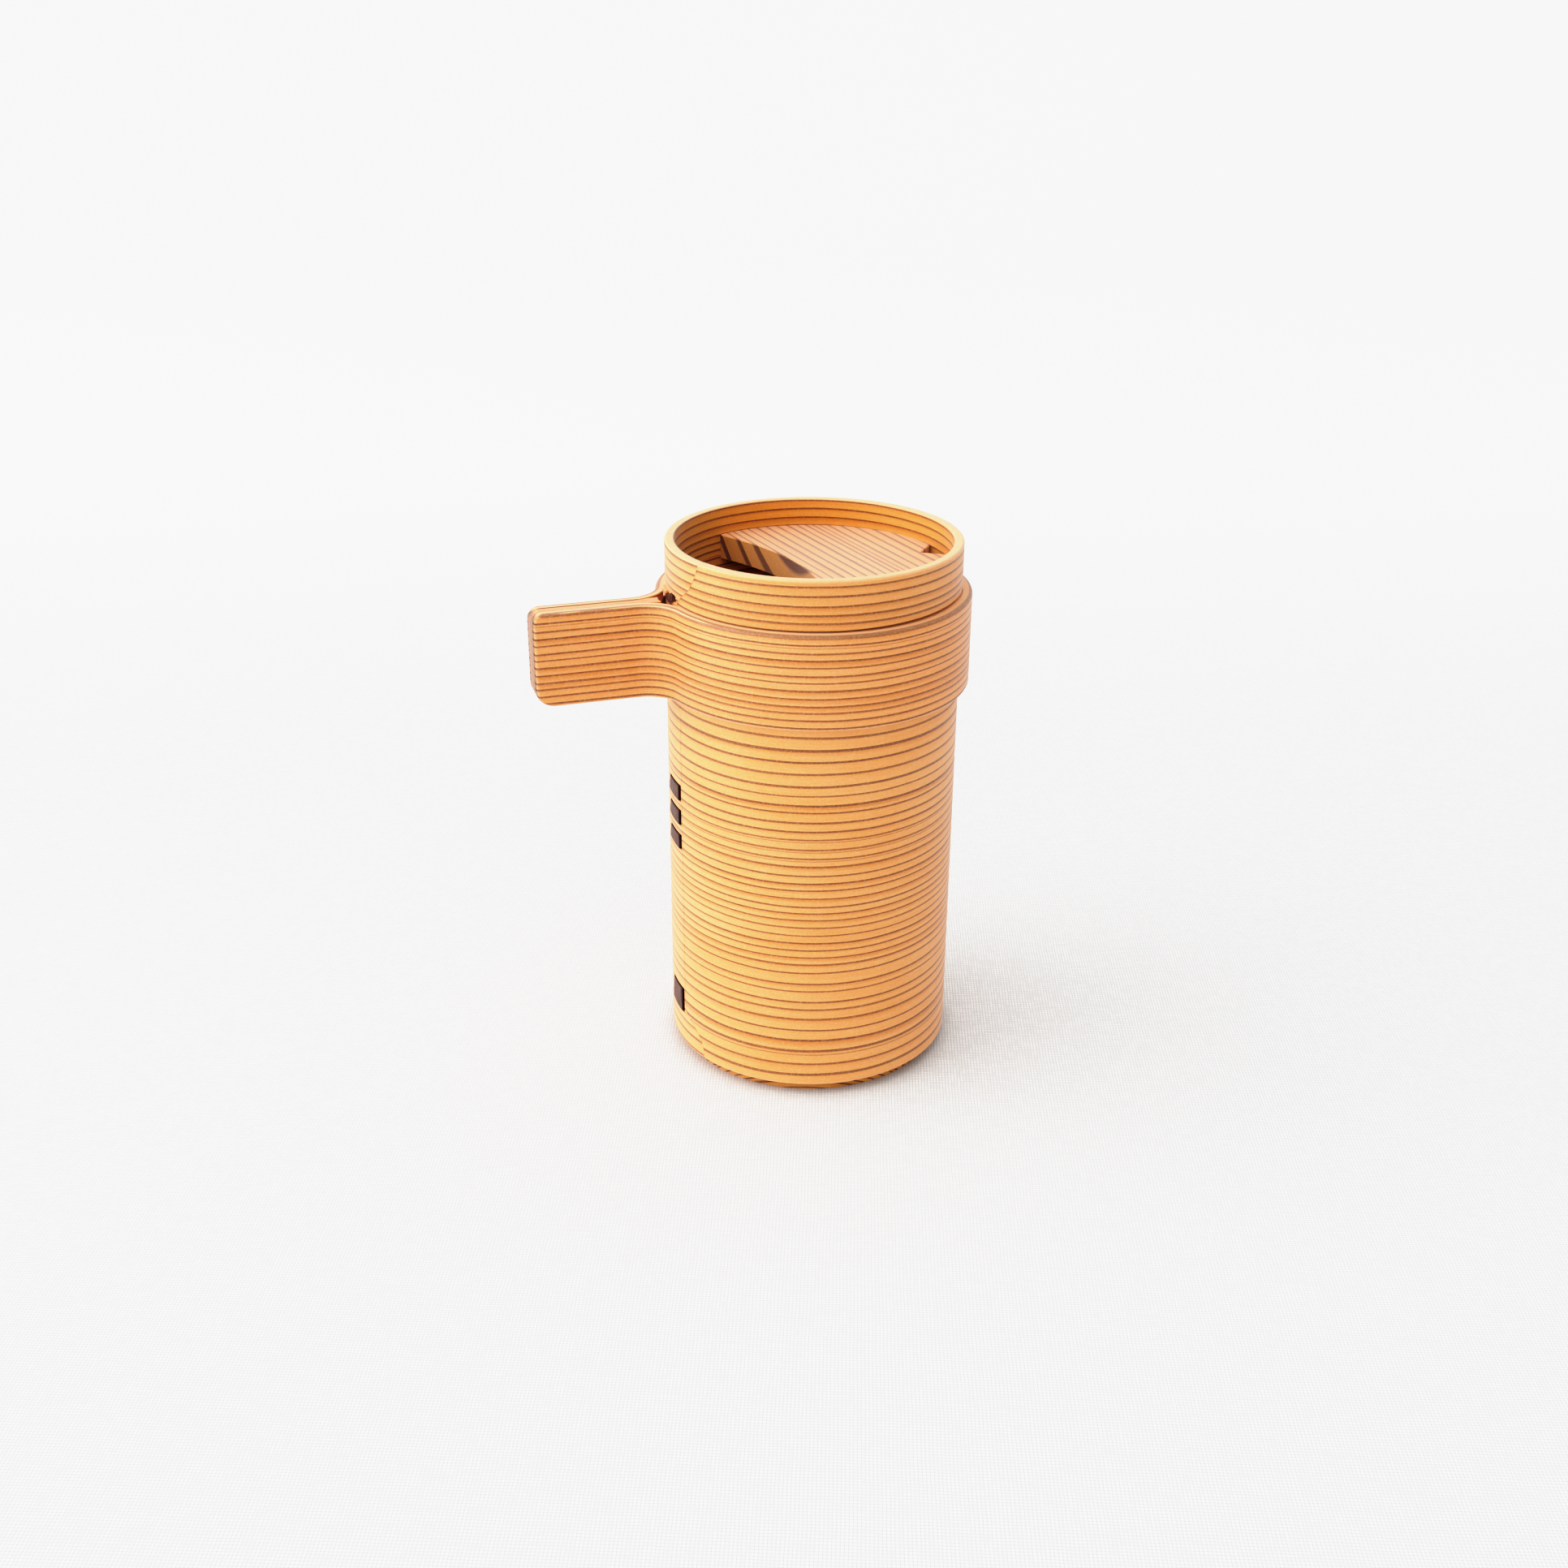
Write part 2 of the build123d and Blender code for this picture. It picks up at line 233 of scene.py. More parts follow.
def growth(T, g, zones, lo, hi, seed, jitter=0.4, anchor=None, line=(0.50, 0.74), twins=0.12):
    """Growth rings stacked along g (millimetres): late-wood lines of uneven
    spacing and weight with soft bands under them.  Returns line, soft, ring
    tone and a random number per ring.  anchor: a height that carries a line."""
    table = ring_table(zones, lo, hi)
    phase = 0.0
    if anchor is not None:
        for (p0, t0), (p1, t1) in zip(table[:-1], table[1:]):
            if p0 <= anchor <= p1:
                phase = -((t0 + (t1 - t0) * (anchor - p0) / (p1 - p0)) % 1.0) - jitter * 0.5
    u = T.add(T.curve(g, lo, hi, table), 20.0 + phase)
    a = T.m("FLOOR", u)

    def edge(k):
        i = T.add(a, k)
        return T.add(i, T.mul(T.white(i, seed), jitter))

    below, here, above = edge(-1.0), edge(0.0), edge(1.0)
    low = T.m("LESS_THAN", u, here)
    top = T.mixf(low, above, here)
    bottom = T.mixf(low, here, below)
    idx = T.sub(T.add(a, 1.0), low)
    mean = (hi - lo) / table[-1][1]
    up = T.mul(T.sub(top, u), mean)                # distance below the line above
    wide = T.mul(T.sub(top, bottom), mean)         # this ring's width
    r1, r2, r3, r4 = (T.white(idx, seed + k) for k in (3.1, 5.7, 9.3, 12.9))
    w = T.lerp(r1, 0.0, 1.0, line[0], line[1])
    late = T.step(T.m("DIVIDE", up, w), 0.62, 1.12, 1.0, 0.0)
    late = T.mul(late, T.step(up, -0.02, 0.04, 0.4, 1.0))
    late = T.mul(late, T.lerp(r2, 0.0, 1.0, 0.82, 1.0))
    # soft band: strong under a few of the lines only
    amp = T.mad(T.m("POWER", r3, 1.4), 0.92, 0.10)
    reach = T.lerp(r3, 0.0, 1.0, 0.6, 2.2)
    soft = T.mul(T.step(T.m("DIVIDE", up, reach), 0.05, 1.0, 1.0, 0.0), amp)
    # a faint second line under some of the others
    twin_at = T.lerp(r1, 0.0, 1.0, 0.85, 1.2)
    twin = T.step(T.m("ABSOLUTE", T.sub(up, twin_at)), 0.04, 0.24, 1.0, 0.0)
    twin = T.mul(twin, T.step(r4, 0.98 - twins, 1.02 - twins, 0.0, 0.6))
    late = T.m("MAXIMUM", late, twin)
    tone = T.step(T.m("DIVIDE", up, wide), 0.0, 1.0, 1.0, 0.0)
    return late, soft, tone, r4


def cedar(name, coords, zones, lo, hi, seed, anchor=None, jitter=0.4, line=(0.50, 0.74), shade=1.0, wobble=0.3,
          pale=None, end=None, warm=0.0, redder=0.0, wear_and_highlight=None, rough=0.5, light=None, depth=1.0, twins=0.12,
          inside_shade=None, inside_shade_tint=(0.91, 0.87, 0.49), parting=None, end_cols=((196, 138, 84), (150, 98, 54)), sheen=0.22):
    """Straight-grained cedar.  coords(T, x, y, z) gives the growth coordinate
    and the two across-the-fibre coordinates; pale, end and wear are functions
    giving 0..1 masks.  The wear mask lays the pale edge colour: rubbed wear at a
    foot, painted highlight on lit rims and edges.  inside gives masks and tints
    for painted shade on inner faces."""
    T = Tree(name)
    x, y, z = T.xyz()
    g, fx, fy, fz = coords(T, x, y, z)
    # slow wander of the rings along the board
    slow = T.noise(T.vec(T.mul(fx, 0.011), T.mul(fy, 0.011), T.mad(fz, 0.045, seed)), 1.0, 1.0)
    fine = T.noise(T.vec(T.mul(fx, 0.07), T.mul(fy, 0.07), T.mad(fz, 0.35, seed * 2.0)), 1.0, 1.0)
    g = T.add(g, T.mul(T.sub(slow, 0.5), wobble * 4.0))
    g = T.add(g, T.mul(T.sub(fine, 0.5), 0.22))
    late, soft, tone, r = growth(T, g, zones, lo, hi, seed, jitter, anchor, line, twins)
    late = T.mul(late, depth)

    # fibre: long streaks along the board and short flecks
    streak = T.noise(T.vec(T.mul(fx, 0.045), T.mul(fy, 0.045), T.mad(fz, 2.6, seed)), 1.0, 3.0, 0.6)
    fleck = T.noise(T.vec(T.mul(fx, 0.42), T.mul(fy, 0.42), T.mad(fz, 9.0, seed)), 1.0, 2.0, 0.6)
    cloud = T.noise(T.vec(T.mul(fx, 0.03), T.mul(fy, 0.03), T.mad(fz, 0.06, seed * 3.0)), 1.0, 2.0, 0.55)
    speck = T.noise(T.vec(T.mul(x, 2.2), T.mul(y, 2.2), T.mul(z, 2.2)), 1.0, 2.0, 0.7)

    light = light or LIGHT
    light = light if not redder else tuple(
        a * (1 - redder) + b * redder for a, b in zip(light, lin((232, 146, 90))))
    base = T.mix(T.step(streak, 0.3, 0.72, 0.0, 0.42), light, WARM)
    base = T.mix(T.step(tone, 0.0, 1.0, 0.0, 0.22), base, WARM)
    base = T.mix(T.step(cloud, 0.42, 0.75, 0.0, 0.30), base, lin((232, 170, 108)))
    base = T.mix(T.step(cloud, 0.46, 0.22, 0.0, 0.25 + warm), base, lin((214, 132, 46)))
    base = T.mix(T.mul(soft, 0.9), base, lin((186, 100, 14)))
    line_col = T.mix(T.step(streak, 0.3, 0.7), LATE, lin((106, 50, 4)))
    # pale edges: rubbed wear at the body's foot, painted highlight on the lid's lit rim and along the band's edges
    if wear_and_highlight is not None:
        base = T.mix(T.mul(wear_and_highlight(T, x, y, z), T.lerp(fleck, 0.2, 0.8, 0.35, 0.8)), base, PALE_WEAR_HIGHLIGHT)
    col = T.mix(T.mul(late, T.lerp(fleck, 0.2, 0.8, 0.86, 1.0)), base, line_col)
    col = T.mix(T.step(fleck, 0.34, 0.74, 0.0, 0.26), col, lin((184, 108, 40)))
    col = T.mix(T.step(speck, 0.40, 0.8, 0.0, 0.16), col, lin((255, 220, 176)))
    rgh = T.mad(late, -0.08, T.lerp(fleck, 0.2, 0.8, rough - 0.05, rough + 0.08))
    height = T.mad(late, 0.9, T.mad(streak, 0.5, T.mul(fleck, 0.6)))
    if end is not None:
        # end grain: duller, with open pores instead of streaks
        e = end(T, x, y, z)
        pore = T.noise(T.vec(T.mul(x, 4.0), T.mul(y, 4.0), T.mul(z, 4.0)), 1.0, 2.0, 0.6)
        dull = T.mix(T.step(pore, 0.35, 0.7), lin(end_cols[0]), lin(end_cols[1]))
        dull = T.mix(T.m("MULTIPLY", late, 1.25, clamp=True), dull, lin((70, 26, 6)))
        col = T.mix(T.mul(e, 0.95), col, dull)
        rgh = T.mixf(e, rgh, 0.72)
        height = T.mixf(e, height, T.mad(pore, 0.9, T.mul(late, 0.5)))
    if pale is not None:
        col = T.mix(T.mul(pale(T, x, y, z), T.lerp(streak, 0.25, 0.75, 0.35, 0.65)), col, PALE_WEAR_HIGHLIGHT)
    # painted shade on inner faces: tinted warmer and darker where light reaches them only off the wood, and darker
    # still deep inside the body
    if inside_shade is not None:
        for mask, tint in ((inside_shade, inside_shade_tint),) if callable(inside_shade) else inside_shade:
            col = T.mix(mask(T, x, y, z), col, T.mix(1.0, col, (*tint, 1.0), "MULTIPLY"))
    if parting is not None:
        # the fine dark joint between two glued pieces
        k = parting(T, x, y, z)
        col = T.mix(T.mul(k, 0.75), col, lin((92, 40, 12)))
        height = T.mad(k, -0.8, height)
    if shade != 1.0:
        col = T.mix(1.0, col, (shade, shade, shade, 1.0), "MULTIPLY")
    p = T.node("ShaderNodeBsdfPrincipled")
    T.put(p.inputs["Base Color"], col)
    T.put(p.inputs["Roughness"], rgh)
    p.inputs["IOR"].default_value = 1.5
    p.inputs["Specular IOR Level"].default_value = 0.5
    p.inputs["Sheen Weight"].default_value = sheen
    p.inputs["Sheen Roughness"].default_value = 0.45
    T.put(p.inputs["Normal"], T.bump(height, 0.00005, 0.6))
    T.nt.links.new(p.outputs[0], T.out.inputs["Surface"])
    return T.mat


def radius(T, x, y):
    return T.m("SQRT", T.mad(x, x, T.mul(y, y)))


def near(T, v, at, width):
    """1 at v = at, falling to 0 at width."""
    return T.step(T.m("ABSOLUTE", T.sub(v, at)), 0.0, width, 1.0, 0.0)


# Hoops are quarter-sawn: rings are stacked up the height, nearly square to the
# axis, so they run as level lines round the outside and inside.
def hoop_coords(lean, mid, seam, jog):
    """seam: (height, direction in degrees) along the lap's outer edge, where the
    board's two ends meet; jog: (height, mismatch of the rings there)."""
    def f(T, x, y, z):
        r = radius(T, x, y)
        az = T.m("ARCTAN2", y, x)
        s_lo, s_hi = seam[0][0], seam[-1][0]
        at = T.curve(T.m("MINIMUM", T.m("MAXIMUM", z, s_lo), s_hi), s_lo, s_hi, [(h, (-150.0 - a) / 30.0) for h, a in seam])
        at = T.mad(at, math.radians(-30.0), math.radians(-150.0))
        turn = T.m("FRACT", T.add(T.m("DIVIDE", T.sub(az, at), 2.0 * math.pi), 2.0))
        j_lo, j_hi = jog[0][0], jog[-1][0]
        step = T.curve(T.m("MINIMUM", T.m("MAXIMUM", z, j_lo), j_hi), j_lo, j_hi, jog)
        shift = T.mul(step, T.sub(0.5, turn))
        return T.add(T.mad(T.sub(r, mid), lean, z), shift), x, y, z
    return f


def bore_shade(z_hi, z_lo):
    """Mask of the painted shade on a hoop's inner face, coming in from z_hi down to z_lo."""
    def f(T, x, y, z):
        return T.mul(T.step(radius(T, x, y), BORE_R + 0.9, BORE_R + 0.4, 0.0, 1.0), T.step(z, z_hi, z_lo, 0.0, 1.0))
    return f


def leg_parting(T, x, y, z):
    """Joints between the handle's legs and the core."""
    k = T.step(T.m("ABSOLUTE", T.sub(T.m("ABSOLUTE", y), 1.37)), 0.10, 0.30, 1.0, 0.0)
    return T.mul(k, T.step(x, -43.0, -45.0, 0.0, 1.0))


def body_wear(T, x, y, z):
    r = radius(T, x, y)
    foot = near(T, z, WALL_Z0 + 0.1, 0.9)
    return T.m("MULTIPLY", foot, T.step(r, BODY_R - 0.9, BODY_R - 0.1))


# painted highlight on the lid hoop's lit top rim
def lid_rim_highlight(T, x, y, z):
    return T.step(z, LID_Z1 - 0.75, LID_Z1 - 0.12, 0.0, 1.0)


def strip_coords(T, x, y, z):
    """Thickness coordinate of the bent strip, zero at its middle: along the
    ring it is the radius, in the root bends and on the legs it follows them."""
    half_gap, bend = 2.63, 10.0
    by = half_gap + bend
    bx = -math.sqrt((BAND_MID + bend) ** 2 - by ** 2)
    ay = T.m("ABSOLUTE", y)
    ring = T.sub(radius(T, x, y), BAND_MID)
    leg = T.sub(ay, half_gap)
    dx, dy = T.sub(x, bx), T.sub(ay, by)
    turn = T.sub(bend, T.m("SQRT", T.mad(dx, dx, T.mul(dy, dy))))
    on_side = T.m("LESS_THAN", ay, T.mul(x, by / bx))
    on_leg = T.m("LESS_THAN", x, bx)
    t = T.mixf(on_leg, T.mixf(on_side, ring, turn), leg)
    return T.mad(t, 0.62, z), x, y, z


# painted highlight along the band's top and bottom edges and the handle's rounded end
def strip_edge_highlight(T, x, y, z):
    e = T.m("MAXIMUM", near(T, z, BAND_Z1, 0.95), near(T, z, BAND_Z0, 0.8))
    return T.m("MAXIMUM", e, T.mul(near(T, x, -TIP + 0.4, 0.9), 0.8))


def handle_end(T, x, y, z):
    g = T.node("ShaderNodeNewGeometry")
    s = T.node("ShaderNodeSeparateXYZ")
    vt = T.node("ShaderNodeVectorTransform", vector_type="NORMAL", convert_from="WORLD", convert_to="OBJECT")
    T.put(vt.inputs[0], g.outputs["True Normal"])
    T.put(s.inputs[0], vt.outputs[0])
    facing = T.step(s.outputs[0], -0.35, -0.85, 0.0, 1.0)
    return T.mul(facing, T.step(x, -TIP + 6.5, -TIP + 4.5, 0.0, 1.0))


def board_coords(normal, along):
    """Flat boards: rings stacked along normal, fibres along a level direction."""
    n = Vector(normal).normalized()
    f = Vector((*along, 0.0)).normalized()

    def fn(T, x, y, z):
        g = T.mad(x, n[0], T.mad(y, n[1], T.mul(z, n[2])))
        fibre = T.mad(x, f[0], T.mul(y, f[1]))
        return g, fibre, T.mul(fibre, 0.0), g
    return fn


def board_end(along, lo=0.55, hi=0.95):
    """1 where the surface faces along the fibres."""
    f = Vector((*along, 0.0)).normalized()

    def fn(T, x, y, z):
        g = T.node("ShaderNodeNewGeometry")
        vt = T.node("ShaderNodeVectorTransform", vector_type="NORMAL", convert_from="WORLD", convert_to="OBJECT")
        T.put(vt.inputs[0], g.outputs["True Normal"])
        s = T.node("ShaderNodeSeparateXYZ")
        T.put(s.inputs[0], vt.outputs[0])
        d = T.m("ABSOLUTE", T.mad(s.outputs[0], f[0], T.mul(s.outputs[1], f[1])))
        return T.step(d, lo, hi, 0.0, 1.0)
    return fn


def steep(T, x, y, z):
    """1 on upright faces."""
    g = T.node("ShaderNodeNewGeometry")
    s = T.node("ShaderNodeSeparateXYZ")
    T.put(s.inputs[0], g.outputs["True Normal"])
    return T.step(T.m("ABSOLUTE", s.outputs[2]), 0.6, 0.2, 0.0, 0.7)


body_mat = cedar(
    "cedar_body",
    hoop_coords(0.30, BODY_R, [(3.7, -156.5), (6.2, -156.8), (8.6, -158.8), (11.2, -163.8), (13.6, -169.6), (16.0, -170.6)],
                [(2.0, 1.7), (8.0, 1.5), (13.0, 0.5), (17.0, 0.0)]),
    [(0, 3.5), (16, 3.4), (22, 2.8), (38, 2.6), (42, 2.05), (60, 2.05), (66, 2.4), (86, 2.5), (90, 3.1), (103, 3.1),
     (130, 2.6)],
    0.0, 130.0, 4.0, wear_and_highlight=body_wear, jitter=0.32, anchor=5.5,
    # painted shade inside the body: the whole bore warmer and darker, and darker still from 124 mm down
    inside_shade=((bore_shade(141.0, 140.0), (0.88, 0.74, 0.56)), (bore_shade(124.0, 108.0), (0.50, 0.42, 0.36))))
lid_mat = cedar(
    "cedar_lid_hoop",
    hoop_coords(0.22, BODY_R, [(125.7, -172.9), (128.3, -171.1), (130.8, -166.8), (133.0, -162.5), (136.6, -158.8), (138.3, -157.6), (139.9, -156.6)],
                [(124.0, 0.7), (140.0, 1.1)]),
    [(120, 2.1), (132, 2.1), (138, 2.2), (145, 3.0)], 120.0, 145.0, 21.0, wear_and_highlight=lid_rim_highlight, jitter=0.25, shade=0.93,
    # painted shade on the lid hoop's inner face below its top
    inside_shade=bore_shade(LID_Z1 - 0.2, LID_Z1 - 1.6))
strip_mat = cedar(
    "cedar_strip", strip_coords, [(98, 1.9), (130, 1.9)], 96.0, 132.0, 33.0, wear_and_highlight=strip_edge_highlight, end=handle_end,
    jitter=0.14, line=(0.46, 0.64), redder=0.4, twins=0.05, parting=leg_parting, end_cols=((150, 104, 70), (112, 74, 46)))
FIBRE_LID = (math.cos(math.radians(-81.5)), math.sin(math.radians(-81.5)))
board_mat = cedar(
    "cedar_lid_board", board_coords((0.966, 0.153, 0.21), FIBRE_LID), [(-10, 2.2), (24, 2.1), (30, 2.8), (38, 2.8), (43, 1.6), (46, 1.6), (48, 3.0), (66, 2.9)],
    -12.0, 66.0, 47.0, end=steep, wobble=0.10, jitter=0.12, anchor=17.9, line=(0.66, 0.92), twins=0.0, light=lin((228, 146, 90)),
    end_cols=((184, 126, 52), (146, 94, 32)), sheen=0.45)
FIBRE_BASE = (math.cos(math.radians(-20)), math.sin(math.radians(-20)))
base_mat = cedar(
    "cedar_base_board", board_coords((0.24, 0.66, 0.71), FIBRE_BASE), [(-30, 1.1), (40, 1.4)],
    -34.0, 40.0, 61.0, end=steep, wobble=0.15, line=(0.30, 0.46), end_cols=((196, 128, 52), (150, 92, 30)))
core_mat = cedar(
    "cedar_core", board_coords((0.1, 0.95, 0.3), (1.0, 0.0)), [(0, 1.3), (40, 1.3)],
    20.0, 45.0, 75.0, end=handle_end, wobble=0.1, line=(0.22, 0.36), depth=0.55, parting=leg_parting, end_cols=((158, 110, 74), (118, 78, 48)))


# ------------------------------------------------------------ cherry bark
STITCHES = [(WALL_Z0 + a, WALL_Z0 + b) for a, b in ((9.3, 16.4), (58.0, 62.0), (64.9, 69.0), (71.7, 76.0))]


def bark(name, seed):
    T = Tree(name)
    x, y, z = T.xyz()
    across = T.vec(T.mul(x, 0.9), T.mad(y, 1.3, seed), T.mul(z, 0.25))
    band = T.noise(across, 1.0, 3.0, 0.6)
    grain = T.noise(T.vec(T.mul(x, 3.0), T.mul(y, 5.0), T.mad(z, 0.9, seed)), 1.0, 3.0, 0.65)
    mott = T.noise(T.vec(T.mul(x, 0.9), T.mul(y, 0.9), T.mad(z, 0.9, seed)), 1.0, 2.0, 0.6)
    col = T.mix(T.step(band, 0.35, 0.68), lin((54, 26, 20)), lin((98, 62, 52)))
    col = T.mix(T.step(grain, 0.5, 0.8, 0.0, 0.55), col, lin((136, 100, 88)))
    col = T.mix(T.step(mott, 0.55, 0.8, 0.0, 0.5), col, lin((40, 17, 12)))
    # bark darkened along each stitch's top and bottom and its near side: painted shade where the bark dives into its
    # slit, together with the bark's own darker folded edges
    fold_shade = T.step(y, -3.7, -4.45, 0.0, 1.0)
    for z0, z1 in STITCHES:
        fold_shade = T.m("MAXIMUM", fold_shade, near(T, z, z1 + 0.05, 0.75))
        fold_shade = T.m("MAXIMUM", fold_shade, T.mul(near(T, z, z0 - 0.05, 0.6), 0.8))
    col = T.mix(T.mul(fold_shade, 0.9), col, lin((34, 13, 8)))
    p = T.node("ShaderNodeBsdfPrincipled")
    T.put(p.inputs["Base Color"], col)
    T.put(p.inputs["Roughness"], T.lerp(grain, 0.25, 0.8, 0.34, 0.52))
    p.inputs["IOR"].default_value = 1.45
    T.put(p.inputs["Specular IOR Level"], T.mad(fold_shade, -0.18, 0.28))
    T.put(p.inputs["Normal"], T.bump(T.mad(fold_shade, -1.6, T.mad(band, 0.8, grain)), 0.00012, 0.9))
    T.nt.links.new(p.outputs[0], T.out.inputs["Surface"])
    return T.mat


bark_mat = bark("cherry_bark", 3.0)


def wear_material(name, mat):
    o = nodes[name]
    o.data.materials.clear()
    o.data.materials.append(mat)


for name, mat in (("body_wall", body_mat), ("lid_hoop", lid_mat), ("handle_band", strip_mat), ("lid_board", board_mat),
                  ("base_board", base_mat), ("handle_core", core_mat), ("body_lacing_upper", bark_mat),
                  ("body_lacing_lower", bark_mat), ("lid_lacing", bark_mat)):
    wear_material(name, mat)


# ------------------------------------------------------------ stage
def cloth():
    """White plain-weave cloth, threads about 0.8 mm apart."""
    T = Tree("white_cloth")
    x, y, z = T.xyz()
    a = math.radians(-20)
    u = T.mad(x, math.cos(a), T.mul(y, math.sin(a)))
    v = T.mad(x, -math.sin(a), T.mul(y, math.cos(a)))
    k = math.pi / 0.8
    wander = T.noise(T.vec(T.mul(x, 0.05), T.mul(y, 0.05), 0.0), 1.0, 2.0)
    uu, vv = T.mad(wander, 0.6, u), T.mad(wander, 0.6, v)
    su = T.m("ABSOLUTE", T.m("SINE", T.mul(uu, k)))
    sv = T.m("ABSOLUTE", T.m("SINE", T.mul(vv, k)))
    weave = T.m("SQRT", T.mul(su, sv))
    # each thread is its own weight, and changes slowly along its length
    iu, iv = T.m("FLOOR", T.m("DIVIDE", uu, 0.8)), T.m("FLOOR", T.m("DIVIDE", vv, 0.8))
    tu = T.noise(T.vec(T.mul(iu, 7.3), T.mul(v, 0.22), 3.0), 1.0, 1.0)
    tv = T.noise(T.vec(T.mul(iv, 7.3), T.mul(u, 0.22), 9.0), 1.0, 1.0)
    thread = T.mul(T.add(tu, tv), 0.5)
    col = T.mix(T.step(weave, 0.1, 0.8), (0.42, 0.42, 0.415, 1), (0.84, 0.84, 0.838, 1))
    col = T.mix(T.step(thread, 0.38, 0.62, 0.0, 0.55), col, (0.58, 0.58, 0.575, 1))
    far = T.step(T.mad(x, 0.309, T.mul(y, 0.951)), 150.0, 650.0, 0.0, 1.0)
    col = T.mix(far, col, (0.86, 0.86, 0.858, 1))
    # painted contact shadow, warm brown, round the pot's foot on the cloth
    r = radius(T, x, y)
    contact_shadow = T.m("POWER", T.step(r, 46.0, 34.0, 0.0, 1.0), 2.0)
    col = T.mix(T.mul(contact_shadow, 0.5), col, (0.40, 0.30, 0.23, 1))
    p = T.node("ShaderNodeBsdfPrincipled")
    T.put(p.inputs["Base Color"], col)
    p.inputs["Roughness"].default_value = 0.9
    p.inputs["Specular IOR Level"].default_value = 0.2
    T.put(p.inputs["Normal"], T.bump(weave, 0.0001, 0.4))
    T.nt.links.new(p.outputs[0], T.out.inputs["Surface"])
    return T.mat


def sweep():
    """A level floor that rises in a wide curve behind the object."""
    back = Vector((0.28246, 0.86932, 0.0)).normalized()
    side = Vector((back.y, -back.x, 0.0))
    prof = [(-6.0, 0.0), (-1.0, 0.0), (-0.4, 0.0), (0.0, 0.0), (0.6, 0.0), (1.4, 0.0)]
    r = 1.6
    for i in range(1, 17):
        a = math.radians(90) * i / 16
        prof.append((1.4 + r * math.sin(a), r - r * math.cos(a)))
    prof.append((3.0, 5.0))
    verts, faces = [], []
    for d, h in prof:
        for s in (-5.0, -1.0, 1.0, 5.0):
            p = back * d + side * s
            verts.append((p.x, p.y, h))
    for i in range(len(prof) - 1):
        for j in range(3):
            k = i * 4 + j
            faces.append((k, k + 1, k + 5, k + 4))
    me = bpy.data.meshes.new("floor")
    me.from_pydata(verts, [], faces)
    me.update()
    for f in me.polygons:
        f.use_smooth = True
    o = bpy.data.objects.new("floor", me)
    bpy.context.scene.collection.objects.link(o)
    me.materials.append(cloth())
    return o


floor = sweep()

# ------------------------------------------------------------ light
scene = bpy.context.scene
world = bpy.data.worlds.new("studio")
scene.world = world
world.use_nodes = True
wt = world.node_tree
wt.nodes.clear()
w_out = wt.nodes.new("ShaderNodeOutputWorld")
w_bg = wt.nodes.new("ShaderNodeBackground")
w_seen = wt.nodes.new("ShaderNodeBackground")
w_mix = wt.nodes.new("ShaderNodeMixShader")
w_path = wt.nodes.new("ShaderNodeLightPath")
w_tc = wt.nodes.new("ShaderNodeTexCoord")
w_dot = wt.nodes.new("ShaderNodeVectorMath")
w_dot.operation = "DOT_PRODUCT"
w_dot.inputs[1].default_value = Vector((-0.80, 0.18, 0.55)).normalized()
w_map = wt.nodes.new("ShaderNodeMapRange")
w_map.interpolation_type = "SMOOTHSTEP"
for socket, value in zip(w_map.inputs[1:5], (-0.62, 0.95, 0.235, 1.04)):
    socket.default_value = value
wt.links.new(w_tc.outputs["Generated"], w_dot.inputs[0])
wt.links.new(w_dot.outputs["Value"], w_map.inputs[0])
wt.links.new(w_map.outputs[0], w_bg.inputs["Strength"])
w_bg.inputs["Color"].default_value = (1.0, 1.0, 1.0, 1.0)
w_seen.inputs["Color"].default_value = (1.0, 1.0, 1.0, 1.0)
w_seen.inputs["Strength"].default_value = 0.70
wt.links.new(w_path.outputs["Is Camera Ray"], w_mix.inputs[0])
wt.links.new(w_bg.outputs[0], w_mix.inputs[1])
wt.links.new(w_seen.outputs[0], w_mix.inputs[2])
wt.links.new(w_mix.outputs[0], w_out.inputs["Surface"])


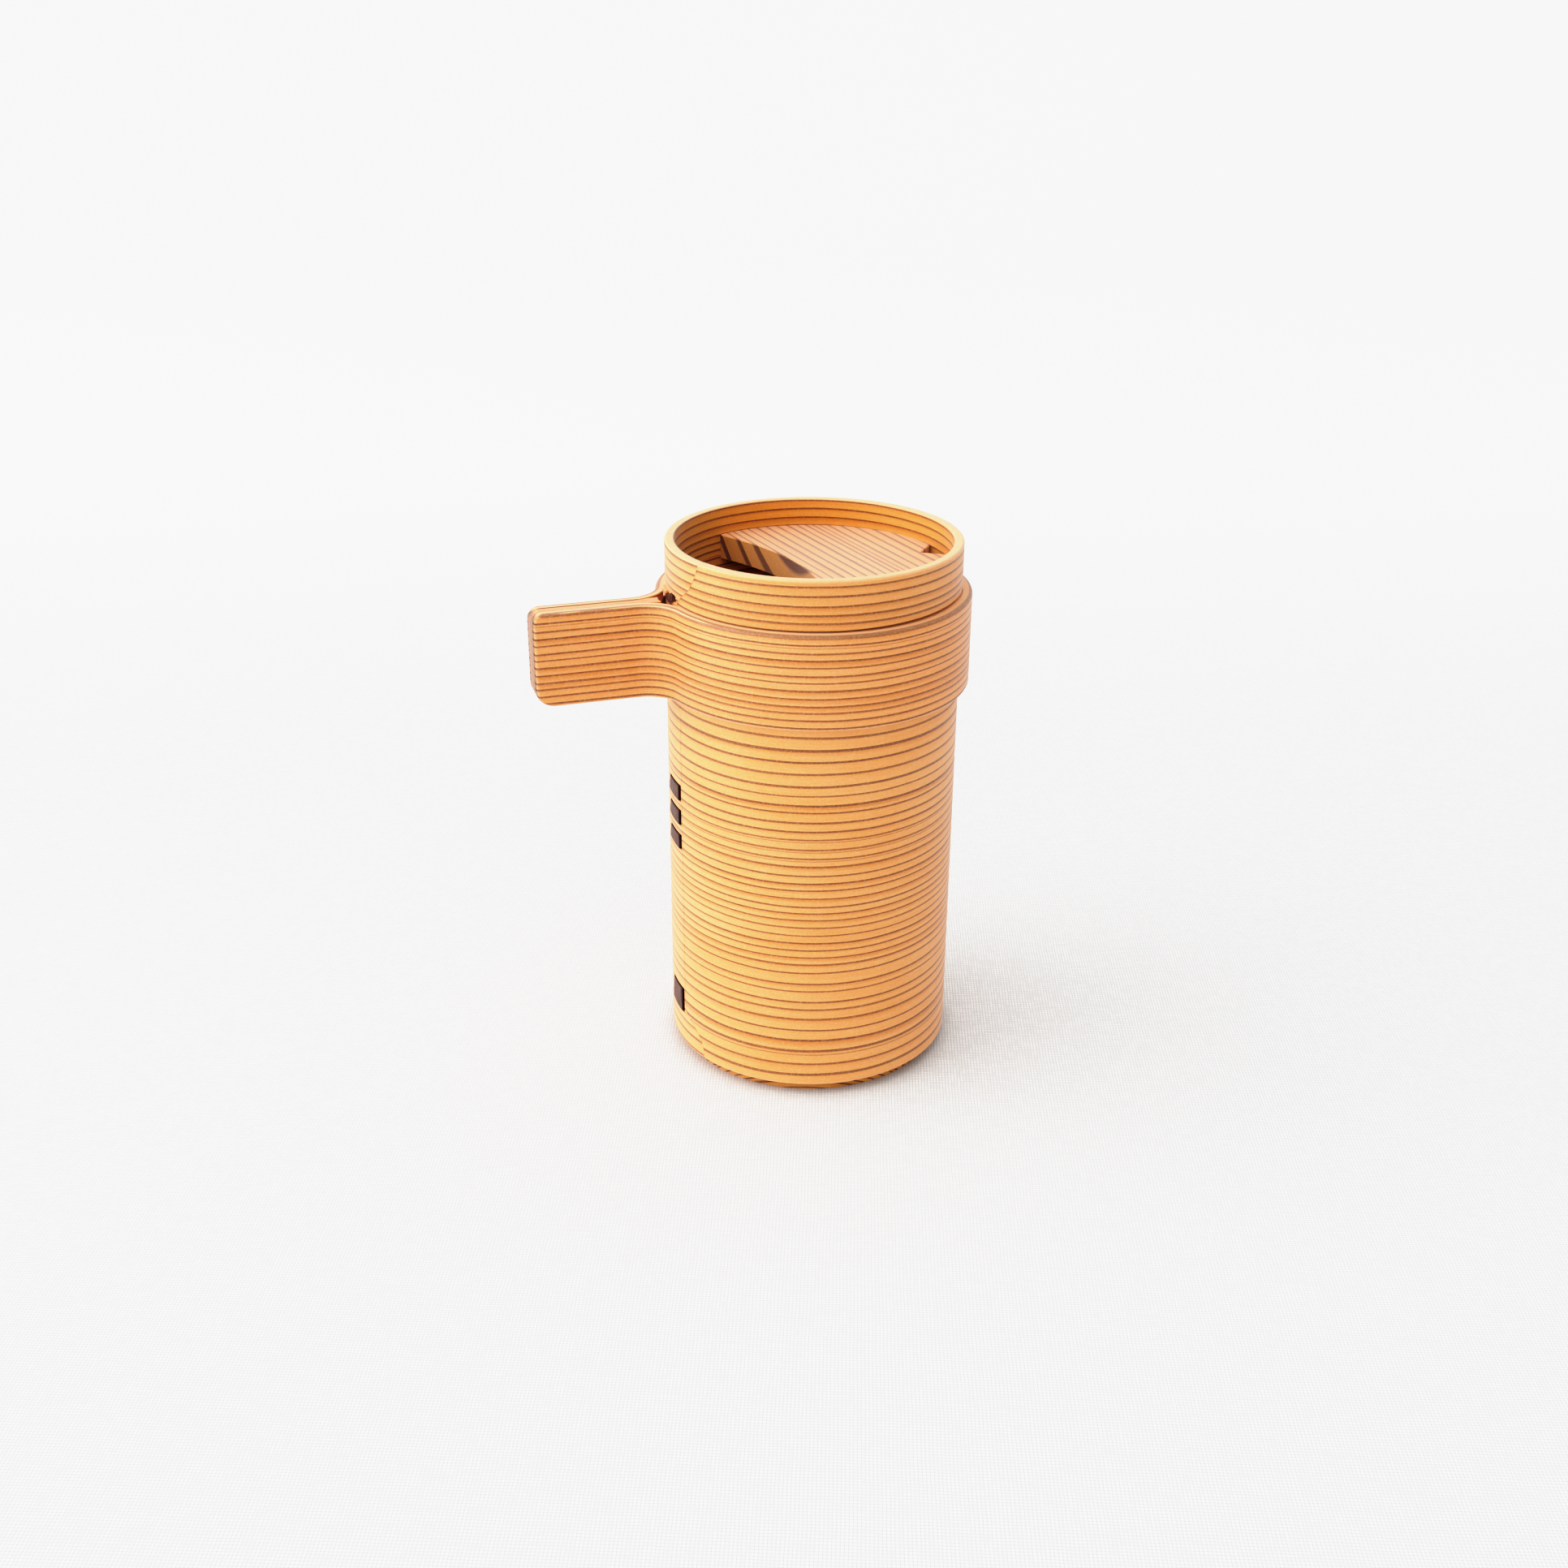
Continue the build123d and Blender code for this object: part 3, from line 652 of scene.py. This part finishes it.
def area(name, at, look, size, power, colour=(1, 1, 1)):
    d = bpy.data.lights.new(name, "AREA")
    d.shape = "RECTANGLE"
    d.size, d.size_y = size
    d.energy = power
    d.color = colour
    o = bpy.data.objects.new(name, d)
    scene.collection.objects.link(o)
    o.location = at
    o.rotation_mode = "QUATERNION"
    o.rotation_quaternion = (Vector(look) - Vector(at)).to_track_quat("-Z", "Y")
    return o


area("window", (-1.46, 0.23, 1.08), (0, 0, 0.07), (1.6, 1.6), 8.0)
area("low_window", (-1.50, 0.10, 0.16), (0, 0, 0.08), (1.2, 0.7), 4.0)

scene.view_settings.view_transform = "Standard"
scene.view_settings.look = "None"
scene.view_settings.exposure = 0.0
scene.view_settings.gamma = 1.0
# the lights are set at half strength and the curve doubles them, which leaves
# it room for a soft shoulder: whites level off just short of full scale
scene.view_settings.use_curve_mapping = True
cm = scene.view_settings.curve_mapping
cm.extend = "HORIZONTAL"
tone = cm.curves[3]
shoulder = [(0.0, 0.0), (0.04, 0.017), (0.1, 0.070), (0.2, 0.182), (0.35, 0.352), (0.5, 0.522), (0.7, 0.732),
            (0.88, 0.855), (1.02, 0.898), (1.2, 0.922), (1.5, 0.948), (2.0, 0.985)]
while len(tone.points) < len(shoulder):
    tone.points.new(1.0, 1.0)
for pt, at in zip(tone.points, shoulder):
    pt.location = (at[0] / 2.0, at[1])
    pt.handle_type = "VECTOR"
cm.update()

# ------------------------------------------------------------ camera
cam_data = bpy.data.cameras.new("camera")
cam = bpy.data.objects.new("camera", cam_data)
scene.collection.objects.link(cam)
fwd = Vector((0.28246, 0.86932, -0.40558)).normalized()
right = Vector((0.95106, -0.30902, 0.0))
right = (right - fwd * right.dot(fwd)).normalized()
up = right.cross(fwd)
roll = math.radians(0.389)
ax = right * math.cos(roll) + up * math.sin(roll)
ay = right * -math.sin(roll) + up * math.cos(roll)
cam.matrix_world = Matrix(((ax.x, ay.x, -fwd.x, -0.144926), (ax.y, ay.y, -fwd.y, -0.422848),
                           (ax.z, ay.z, -fwd.z, 0.270802), (0, 0, 0, 1)))
cam_data.sensor_width = 36.0
cam_data.lens = 42.37
cam_data.clip_start, cam_data.clip_end = 0.01, 50.0
scene.camera = cam
